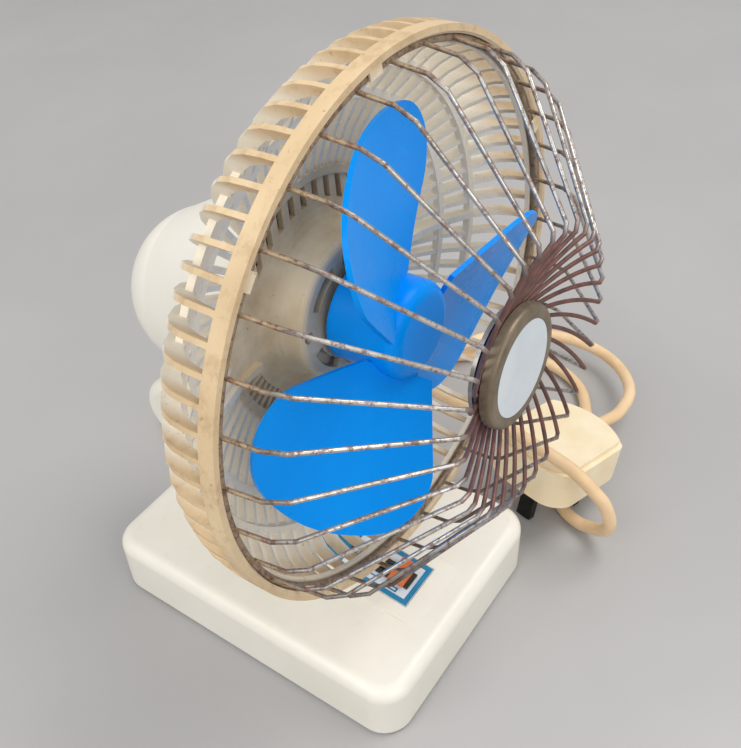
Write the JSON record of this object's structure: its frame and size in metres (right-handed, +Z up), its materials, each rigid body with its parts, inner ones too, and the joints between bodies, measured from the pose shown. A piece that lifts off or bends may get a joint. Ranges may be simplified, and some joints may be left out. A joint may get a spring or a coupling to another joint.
{
  "type": "desk fan",
  "caption": "Small tilting desk fan with a wire front guard, moulded rear basket, blue blade wheel, slide switch on its base, and a mains lead with a flat-pin plug.",
  "frame": {"origin": "on the table under the middle of the fan, the lead and plug left aside", "axes": "+Z up, the fan blows toward -Y, +X is to the right of someone it blows at"},
  "size_m": [0.3041, 0.2673, 0.2689],
  "materials": {
    "ivory": "smooth moulded, a little yellowed",
    "aged": "yellowed, speckled",
    "dark_plastic": "moulded",
    "foot_rubber": "soft",
    "steel": "plated",
    "pressed_steel": "plated sheet",
    "laminations": "stacked sheet",
    "windings": "enamelled wire",
    "bronze": "sintered or turned",
    "pins": "darkened",
    "guard_wire": "plated wire with rust",
    "blue": "moulded, glossy",
    "label": "printed plate",
    "orange": "moulded",
    "badge": "champagne coloured",
    "badge_face": "satin",
    "lead": "flexible sheath",
    "plug": "moulded",
    "switch_brown": "moulded",
    "terminal": "moulded"
  },
  "bodies": {
    "base": {"base_shell": "ivory", "base_plate": "dark_plastic", "base_feet": "foot_rubber", "base_screws": "steel", "neck_post": "ivory", "neck_screws": "steel", "control_plate": "label", "switch_bezel": "dark_plastic", "switch_body": "switch_brown", "terminal_block": "terminal", "cord_grip": "lead", "mains_cord": "lead", "plug_body": "plug", "plug_cover": "plug", "plug_pins": "pins", "plug_screw": "bronze", "tilt_bolt": "steel", "tilt_nut": "steel", "tilt_washers": "bronze"},
    "switch": {"switch_knob": "orange"},
    "head": {"tilt_bracket": "pressed_steel", "bracket_screws": "steel", "rear_guard": "aged", "motor_cover": "ivory", "cover_screws": "steel", "front_bracket": "pressed_steel", "rear_bracket": "pressed_steel", "stator_core": "laminations", "stator_coils": "windings", "motor_bearings": "bronze", "motor_bolts": "steel", "front_guard": "guard_wire", "badge_cap": "badge", "badge_disc": "badge_face", "badge_back": "steel", "badge_screw": "steel"},
    "rotor": {"blade_wheel": "blue", "motor_shaft": "steel", "rotor_core": "laminations"}
  },
  "joints": [
    {"name": "switch_slide", "type": "slide", "parent": "base", "child": "switch", "axis": [0, 0.9965, 0.083], "range_m": [0, 0.02]},
    {"name": "head_tilt", "type": "hinge", "parent": "base", "child": "head", "pos_m": [0, 0.07086, 0.087], "axis": [-1, 0, 0], "range_deg": [-10, 20]},
    {"name": "wheel_spin", "type": "hinge", "parent": "head", "child": "rotor", "pos_m": [0, -0.03814, 0.169], "axis": [0, -0.9986, 0.0523], "continuous": true}
  ]
}
